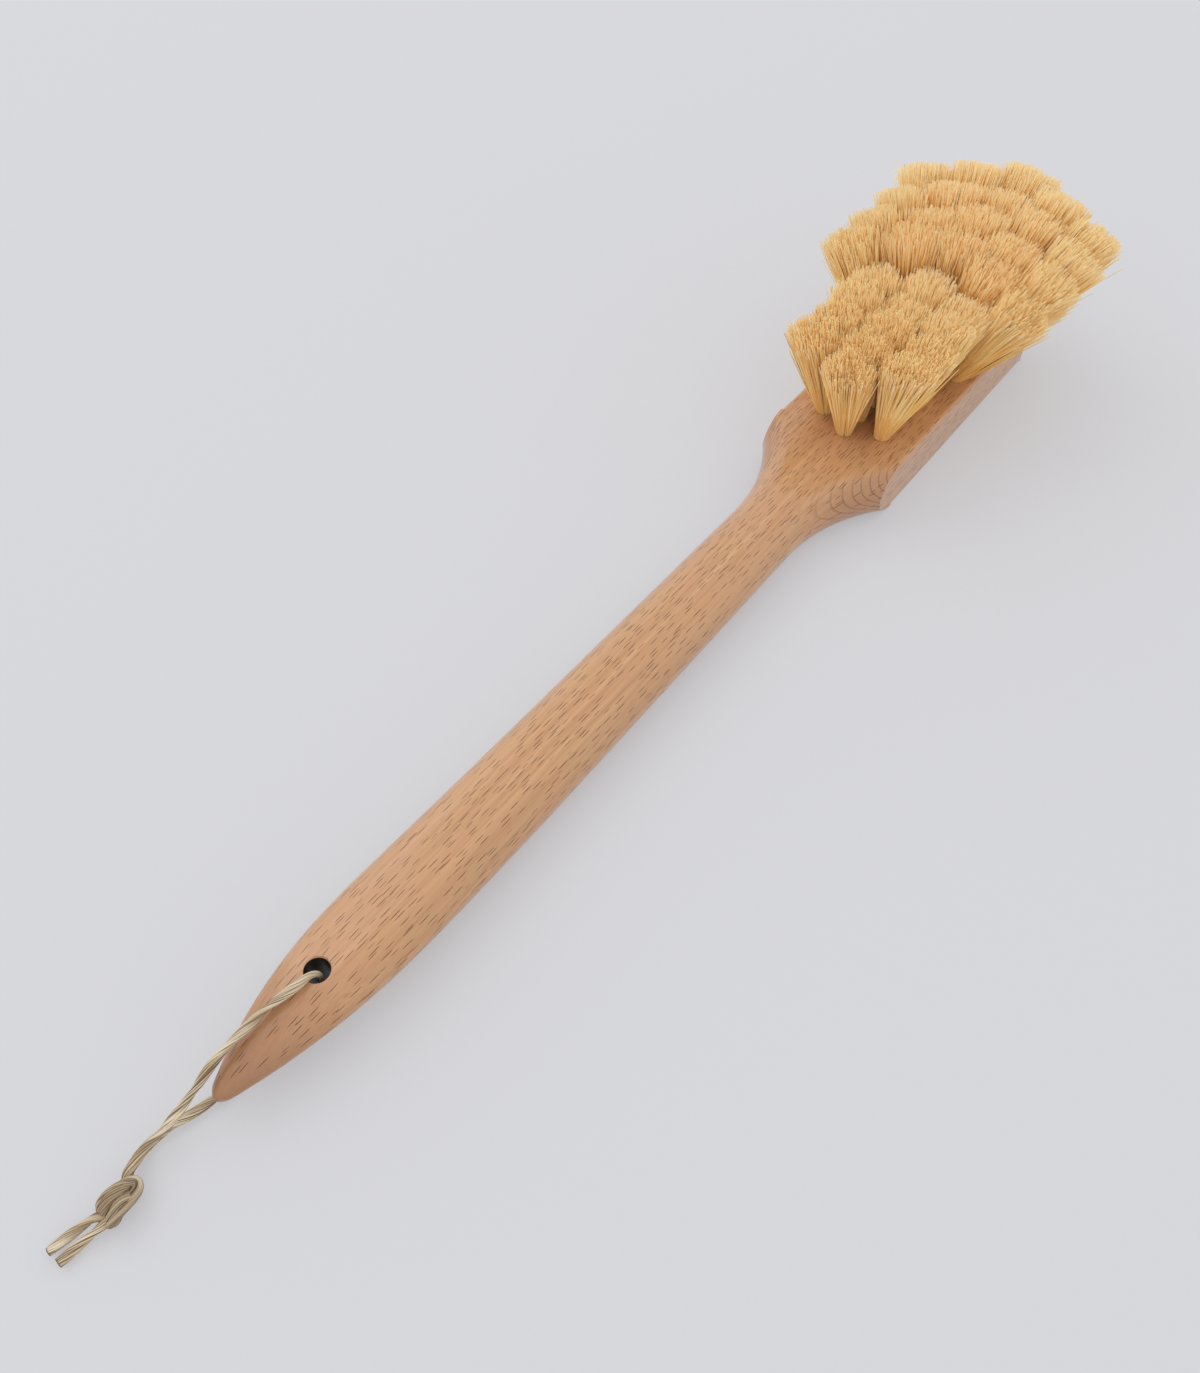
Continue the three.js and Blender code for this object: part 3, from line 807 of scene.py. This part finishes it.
# %% Flecks
# A cell in millimetres, and the half-sizes of its fleck as shares of the cell.
CELL_LONG = 8.5
CELL_WIDE = 1.18
FLECK_LONG = 0.28
FLECK_WIDE = 0.1
FLECK_DEEP = 0.42
cells = stretched((CELL_LONG, CELL_WIDE, CELL_WIDE))
even_cells = {"Vector": cells, "Scale": 1, "Randomness": 0.8}
middles = start.node("ShaderNodeTexVoronoi", None, even_cells, out="Position")
fleck_way = start.node("ShaderNodeVectorMath", {"operation": "SUBTRACT"}, {0: cells, 1: middles})
lengthwise, sideways, upwards = split(fleck_way)
fleck_long = lengthwise / FLECK_LONG
fleck_wide = (sideways * facing_z - upwards * facing_y) / FLECK_WIDE
sloped = lengthwise * facing_x * (CELL_LONG / CELL_WIDE)
fleck_deep = (sloped + sideways * facing_y + upwards * facing_z) / FLECK_DEEP
fleck_reach = fleck_long * fleck_long + fleck_wide * fleck_wide + fleck_deep * fleck_deep
flecks = fleck_reach.ramp(0.6, 1.2, 1, 0)
print("flecks", round(2 * FLECK_LONG * CELL_LONG, 2), "mm long")

# %% Stripes and rings
RING_SPACING = 1.6 * MM
RINGS_UP = 0.6
RINGS_ACROSS = 0.8
RINGS_WAVER = 1.2
RINGS_FAINT = wood_low.x + 40 * MM
RINGS_FULL = wood_low.x + 90 * MM
stripes = noise((110, 1.5, 1.5), 3)
streaks = noise((24, 0.4, 0.4), 2)
tones = noise((60, 14, 14), 1)
end_grain = size_of(facing_x).ramp(0.05, 0.45)
place_x, place_y, place_z = split(place)
layers = (place_z * RINGS_UP - place_y * RINGS_ACROSS) / RING_SPACING
layers = layers + noise((70, 14, 14), 1) * RINGS_WAVER
ring = start.node("ShaderNodeMath", {"operation": "FRACT"}, {0: layers})
rings = ring.ramp(0.72, 0.97) * ring.ramp(0.97, 1.0, 1, 0)
past_nose = place_x.ramp(RINGS_FAINT, RINGS_FULL, 0.25, 1)
print("rings every", RING_SPACING / MM, "mm")

# %% Beech colour
BEECH_BROWN = colour(198, 147, 103)
BEECH_PALE = colour(213, 165, 119)
BEECH_PATCHES = colour(203, 151, 110)
BEECH_STREAKS = colour(170, 117, 78)
BEECH_END_GRAIN = colour(172, 123, 87)
BEECH_RINGS = colour(140, 95, 62)
# Painted shade that darkens the nose towards the tip.
BEECH_NOSE_SHADE = colour(160, 112, 78)
BEECH_FLECKS = colour(88, 48, 25)
# Painted shade inside the hanging hole.
BEECH_BORE_SHADE = colour(38, 22, 14)
NOSE_SHADE_TO = wood_low.x + 50 * MM
# Where the painted shade in the hole fades out, as squares of the distance from the hole's axis, in
# square millimetres.
BORE_SHADE_EDGE = (13.6, 15)
ground = stripes.ramp(0.3, 0.72).mix(BEECH_BROWN, BEECH_PALE)
ground = (tones.ramp(0.35, 0.7) * 0.5).mix(ground, BEECH_PATCHES)
ground = (streaks.ramp(0.5, 0.75) * 0.4).mix(ground, BEECH_STREAKS)
ground = (end_grain * 0.5).mix(ground, BEECH_END_GRAIN)
ground = (rings * past_nose * (end_grain * 0.65 + 0.12)).mix(ground, BEECH_RINGS)
# Painted shade: the nose is darker towards the tip.
nose_shade = place_x.ramp(wood_low.x, NOSE_SHADE_TO, 0.7, 0)
ground = nose_shade.mix(ground, BEECH_NOSE_SHADE)
ground = (flecks * 0.92).mix(ground, BEECH_FLECKS)
bore_x = (place_x - hole.x) / MM
bore_y = place_y / MM
# Painted shade: the inside of the hanging hole is almost black.
bore_shade = (bore_x * bore_x + bore_y * bore_y).ramp(*BORE_SHADE_EDGE, 1, 0)
feed(beech_shader, "Base Color", bore_shade.mix(ground, BEECH_BORE_SHADE))
print("beech colour made")

# %% Beech polish
feed(beech_shader, "Roughness", stripes * 0.15 + 0.26 + flecks * 0.2)
feed(beech_shader, "Coat Weight", 0.75 - bore_shade * 0.75)
pore_depth = {"Strength": 0.25, "Distance": 0.2 * MM, "Height": 1 - flecks}
pores = start.node("ShaderNodeBump", None, pore_depth)
feed(beech_shader, "Normal", pores)
print("beech polish made")

# %% Beech piece
SHARP_ANGLE = math.radians(28)
wood_piece = new_piece("beech_body", wood, "brush", beech, ("beech_handle",))
wood_piece.data.set_sharp_from_angle(angle=SHARP_ANGLE)
even = wood_piece.modifiers.new("even shading", "WEIGHTED_NORMAL")
even.keep_sharp = True
print("beech body", len(wood_piece.data.polygons), "faces")

# %% [markdown]
# ## Tufts of fibre
# A tuft is a bundle of stiff plant fibres, folded over a staple and trimmed. Hair particles could
# draw it, but they aren't a mesh that can be used elsewhere, so one fibre is a three-sided rod of a
# few rings. It is doubled until there are enough, and then every copy's rings are laid along a path
# of its own: out of the hole, fanning with its neighbours, drawn a little towards its lock, and
# ending near the trimmed height. A few strays go their own way.
# Fibre ends at many depths make the feathery tips: the near tufts are trimmed closer and flatter,
# while the far tufts are cut more across their own lean and stand more ragged. No two tufts are
# quite alike, so each one also sways and stands a little higher or lower than its neighbours.

# %% Fibre rods
RINGS = 3
SIDES = 3


def rod_bmesh(count):
    """count copies of one closed rod, in order. A rod's corner is at a ring and a side."""
    bm = bmesh.new()
    face, _ = first_ring(bm, SIDES)
    for ring_number in range(1, RINGS):
        face = next_ring(bm, face, ring_number == 1)
        for vert in face.verts:
            vert.co.z = ring_number
    bmesh.ops.recalc_face_normals(bm, faces=bm.faces)
    made = 1
    while made < count:
        wanted = min(made, count - made)
        bm.verts.ensure_lookup_table()
        bm.faces.ensure_lookup_table()
        verts = bm.verts[:wanted * RINGS * SIDES]
        chosen = set(verts)
        edges = [edge for edge in bm.edges if edge.verts[0] in chosen]
        faces = [each for each in bm.faces if each.verts[0] in chosen]
        bmesh.ops.duplicate(bm, geom=verts + edges + faces)
        made += wanted
    return bm


print("a rod has", SIDES * (RINGS - 1) + 2, "faces")

# %% Fibre paths
ROOT_DEPTH = 4 * MM
ROOT_SPREAD = 2.85 * MM
LOCKS = 14
LONGEST = 3.0
# A few fibres are painted dark brown as shade between the fibres.
SHADE_FIBRE_SHARE = 0.012
# Scatter and sway are shares of the tip's radius. Uneven ends, bow and lift are millimetres.
LOCK_TURN = 2.4
LOCK_PULL = 0.35
TIP_SCATTER = 0.14
STRAY_SHARE = 0.025
STRAY_REACH = (1.05, 1.35)
LOCK_UNEVEN = 0.6
FIBRE_UNEVEN = 0.5
BOW = 0.35
FAN_LIMITS = (-0.1, 1.2)
TONE_SPREAD = 0.27
THICKNESS = (0.75, 1.25)
TUFT_SWAY = 0.14
TUFT_LIFT = 1.1
rng = np.random.default_rng(7)


def fibre_paths(one, count, tip_radius, trim):
    """Paths of one tuft's fibres: (count, rings, 3) points, their radii and their tones."""
    base, axis = np.array(one["base"]), np.array(one["axis"])
    across = np.stack([np.array(one["along"]), np.array(one["across"])])
    height = (one["tip"] - one["base"]).length
    reach = np.sqrt(rng.random(count))
    turn = rng.random(count) * 2 * math.pi
    root = np.stack([reach * np.cos(turn), reach * np.sin(turn)], axis=1)
    lock_reach = np.sqrt((np.arange(LOCKS) + 0.5) / LOCKS)
    lock_turn = np.arange(LOCKS) * LOCK_TURN + rng.random() * 6
    locks = np.stack([lock_reach * np.cos(lock_turn), lock_reach * np.sin(lock_turn)], axis=1)
    nearest = np.argmin(((root[:, None] - locks[None]) ** 2).sum(2), axis=1)
    pull = rng.uniform(0, LOCK_PULL, count)[:, None]
    tip = root * (1 - pull) + locks[nearest] * pull + rng.normal(0, TIP_SCATTER, (count, 2))
    stray = rng.random(count) < STRAY_SHARE
    tip[stray] *= rng.uniform(*STRAY_REACH, (stray.sum(), 1))
    tip += rng.uniform(-TUFT_SWAY, TUFT_SWAY, 2)
    lift = rng.uniform(-TUFT_LIFT, TUFT_LIFT)
    uneven = rng.normal(trim["proud"], LOCK_UNEVEN, LOCKS)[nearest]
    uneven = uneven + rng.normal(0, FIBRE_UNEVEN, count)
    uneven -= rng.uniform(0, trim["ragged"], count)
    sunk = trim["level"] * tip_radius * (tip @ across[:, 2]) / axis[2]
    uneven = np.minimum(uneven, LONGEST) + lift - trim["dome"] * (tip ** 2).sum(1)
    level = height - sunk + MM * uneven
    bow = rng.normal(0, BOW, (count, 2)) * MM
    share = np.linspace(0, 1, RINGS)
    rise = -ROOT_DEPTH + share[None] * (level + ROOT_DEPTH)[:, None]
    fan = np.clip(rise / height, *FAN_LIMITS)[:, :, None]
    flat = ROOT_SPREAD * root[:, None] * (1 - fan) + tip_radius * tip[:, None] * fan
    flat = flat + bow[:, None] * np.sin(math.pi * share)[None, :, None]
    paths = base + rise[:, :, None] * axis + flat @ across
    tones = np.maximum(rng.normal(one["tone"], TONE_SPREAD, count), 0)
    # These few fibres are painted dark brown as shade between the fibres.
    tones[rng.random(count) < SHADE_FIBRE_SHARE] = -1
    return paths, rng.uniform(*THICKNESS, count), tones


print("a fibre's path has", RINGS, "points")

# %% Lay the fibres
FIBRE_RADIUS = 0.145 * MM
FIBRES_PER_TUFT = 2100
ROOT_THICKNESS = 0.95


def lay_fibres(name, tufts, tip_radius, trim, stands_for):
    """One piece with the fibres of a column of tufts, and their tones as attributes."""
    laid = [fibre_paths(one, FIBRES_PER_TUFT, tip_radius, trim) for one in tufts]
    paths, thick, tones = (np.concatenate(part) for part in zip(*laid))
    piece = new_piece(name, rod_bmesh(len(paths)), "brush", fibre, stands_for)
    corner = 2 * math.pi * np.arange(SIDES) / SIDES
    sides = np.repeat([[one["along"], one["across"]] for one in tufts], FIBRES_PER_TUFT, axis=0)
    ring_shape = np.cos(corner)[None, :, None] * sides[:, None, 0]
    ring_shape = ring_shape + np.sin(corner)[None, :, None] * sides[:, None, 1]
    taper = np.linspace(ROOT_THICKNESS, 1.0, RINGS)
    radius = FIBRE_RADIUS * thick[:, None] * taper[None]
    places = paths[:, :, None] + radius[:, :, None, None] * ring_shape[:, None]
    piece.data.vertices.foreach_set("co", places.astype(np.float32).ravel())
    piece.data.update()
    along = np.broadcast_to(np.linspace(0, 1, RINGS)[None, :, None], places.shape[:3])
    tone = np.broadcast_to(tones[:, None, None], places.shape[:3])
    for key, value in (("along", along), ("tone", tone)):
        layer = piece.data.attributes.new(key, "FLOAT", "POINT")
        layer.data.foreach_set("value", value.astype(np.float32).ravel())
    print(name, len(paths), "fibres")


print(FIBRES_PER_TUFT, "fibres to a tuft")

# %% [markdown]
# ### Fibre finish
# Every fibre has its own tone of golden straw and is paler at its cut end, and a few are painted
# brown as shade between the fibres. A noise would give neighbours the same tone, so the tone and
# the place along the fibre come from attributes. Dry fibres glow a little where light grazes them,
# and the shader's sheen does that.

# %% Fibre finish
FIBRE_GOLD = colour(253, 203, 108)
FIBRE_PALE = colour(255, 234, 170)
FIBRE_SHADE_BROWN = colour(122, 80, 42)
FIBRE_TIPS = colour(255, 242, 204)
FIBRE_SHEEN = colour(255, 218, 146)
fibre, fibre_shader, start = new_finish(
    "plant_fibre", Roughness=0.6, IOR=1.3, Sheen_Weight=1.0, Sheen_Roughness=0.5,
    Sheen_Tint=FIBRE_SHEEN,
)
tone = start.node("ShaderNodeAttribute", {"attribute_name": "tone"}, out=2)
along = start.node("ShaderNodeAttribute", {"attribute_name": "along"}, out=2)
straw = tone.ramp(0.05, 0.95).mix(FIBRE_GOLD, FIBRE_PALE)
# Painted shade: the darkest tones give brown fibres that stand for the shade between fibres.
straw = tone.ramp(-0.9, -0.4).mix(FIBRE_SHADE_BROWN, straw)
feed(fibre_shader, "Base Color", (along.ramp(0.88, 1.0) * 0.55).mix(straw, FIBRE_TIPS))
print("fibre finish made")

# %% Tuft pieces
NEAR_TRIM = {"level": 0.6, "proud": 2.2, "ragged": 7, "dome": 1.3}
FAR_TRIM = {"level": 0.15, "proud": 2.8, "ragged": 9, "dome": 1.4}
NEAR_TIPS = 9.1 * MM
FAR_TIPS = (11.2 * MM, 11.2 * MM, 10 * MM)
COLUMN_NAMES = {-2: "right_outer", -1: "right", 0: "middle", 1: "left", 2: "left_outer"}
for out, column in near_columns.items():
    stands_for = ("bristles_near",) if out == 0 else ()
    lay_fibres("near_tufts_" + COLUMN_NAMES[out], column, NEAR_TIPS, NEAR_TRIM, stands_for)
for out, column in far_columns.items():
    stands_for = ("bristles_far",) if out == 0 else ()
    lay_fibres("far_tufts_" + COLUMN_NAMES[out], column, FAR_TIPS[abs(out)], FAR_TRIM, stands_for)

# %% [markdown]
# ## Staples
# A wire staple pins each tuft deep in its hole. New ones could be bent from a curve, but the fibres
# hide them, so the frame's own solids stay and only get a bright drawn-wire finish.

# %% Staple finish
WIRE_GREY = colour(166, 164, 158)
WIRE_BRIGHT = colour(200, 198, 192)
WIRE_GRAIN = 900
steel, steel_shader, start = new_finish("staple_wire", Metallic=1.0)
place = start.node("ShaderNodeTexCoord", None, None, out="Object")
drawn = start.node("ShaderNodeTexNoise", None, {"Vector": place, "Scale": WIRE_GRAIN, "Detail": 2})
feed(steel_shader, "Base Color", drawn.ramp(0.3, 0.7).mix(WIRE_GREY, WIRE_BRIGHT))
feed(steel_shader, "Roughness", drawn * 0.25 + 0.25)
staples = [node for name, node in frame["nodes"].items() if name.startswith("staple_")]
for node in staples:
    node.data.materials.clear()
    node.data.materials.append(steel)
print(len(staples), "staples finished")

# %% [markdown]
# ## Floor and light
# The brush lies on plain pale paper under soft daylight from the upper left of the picture. The
# world and one wide lamp share the light so that a colour renders about as it is written. More
# light would make the paper paler, but it would bleach the fibres too. So where the camera or a
# reflection sees the paper, half of it is a plain tone, and its shadows stay weak. Light has to
# bounce many times between fibres before it comes out golden, so more diffuse bounces are allowed.

# %% Floor
FLOOR_HALF = 4
FLOOR_DROP = 0.2 * MM
PAPER = colour(214, 214, 217)
PAPER_SEEN = colour(217, 217, 221)
sheet = bmesh.new()
bmesh.ops.create_grid(sheet, x_segments=1, y_segments=1, size=FLOOR_HALF)
floor = new_object("floor", sheet)
floor.location.z = -FLOOR_DROP
paper, paper_shader, start = new_finish("paper", Roughness=0.9, Base_Color=PAPER)
camera_ray, glossy_ray, clear_ray = (
    start.node("ShaderNodeLightPath", None, None, out=f"Is {ray} Ray")
    for ray in ("Camera", "Glossy", "Transmission")
)
seen = camera_ray + glossy_ray + clear_ray
lit = Wire(start.tree, paper_shader.outputs[0])
plain = start.node("ShaderNodeEmission", None, {"Color": PAPER_SEEN})
both = start.node("ShaderNodeMixShader", None, {0: seen * 0.5, 1: lit, 2: plain})
start.tree.links.new(both.socket, start.tree.nodes["Material Output"].inputs["Surface"])
floor.data.materials.append(paper)
print("floor ready")

# %% Light
SKY_COLOUR = (0.97, 0.98, 1.0, 1)
SKY_STRENGTH = 0.92
LAMP_SIZE = 2.4
LAMP_POWER = 14
LAMP_PLACE = (-0.1, 2.1, 2.3)
LAMP_AIM = Vector((-0.15, 0, 0))
BOUNCES = 10
world = bpy.data.worlds.new("daylight")
bpy.context.scene.world = world
world.use_nodes = True
sky = world.node_tree.nodes["Background"]
sky.inputs["Color"].default_value = SKY_COLOUR
sky.inputs["Strength"].default_value = SKY_STRENGTH
lamp_data = bpy.data.lights.new("window", "AREA")
lamp_data.shape = "DISK"
lamp_data.size = LAMP_SIZE
lamp_data.energy = LAMP_POWER
lamp = bpy.data.objects.new("window", lamp_data)
lamp.location = LAMP_PLACE
lamp.rotation_euler = (LAMP_AIM - lamp.location).to_track_quat("-Z", "Y").to_euler()
bpy.context.scene.collection.objects.link(lamp)
bpy.context.scene.view_settings.view_transform = "Standard"
bpy.context.scene.cycles.diffuse_bounces = BOUNCES
print("light ready")
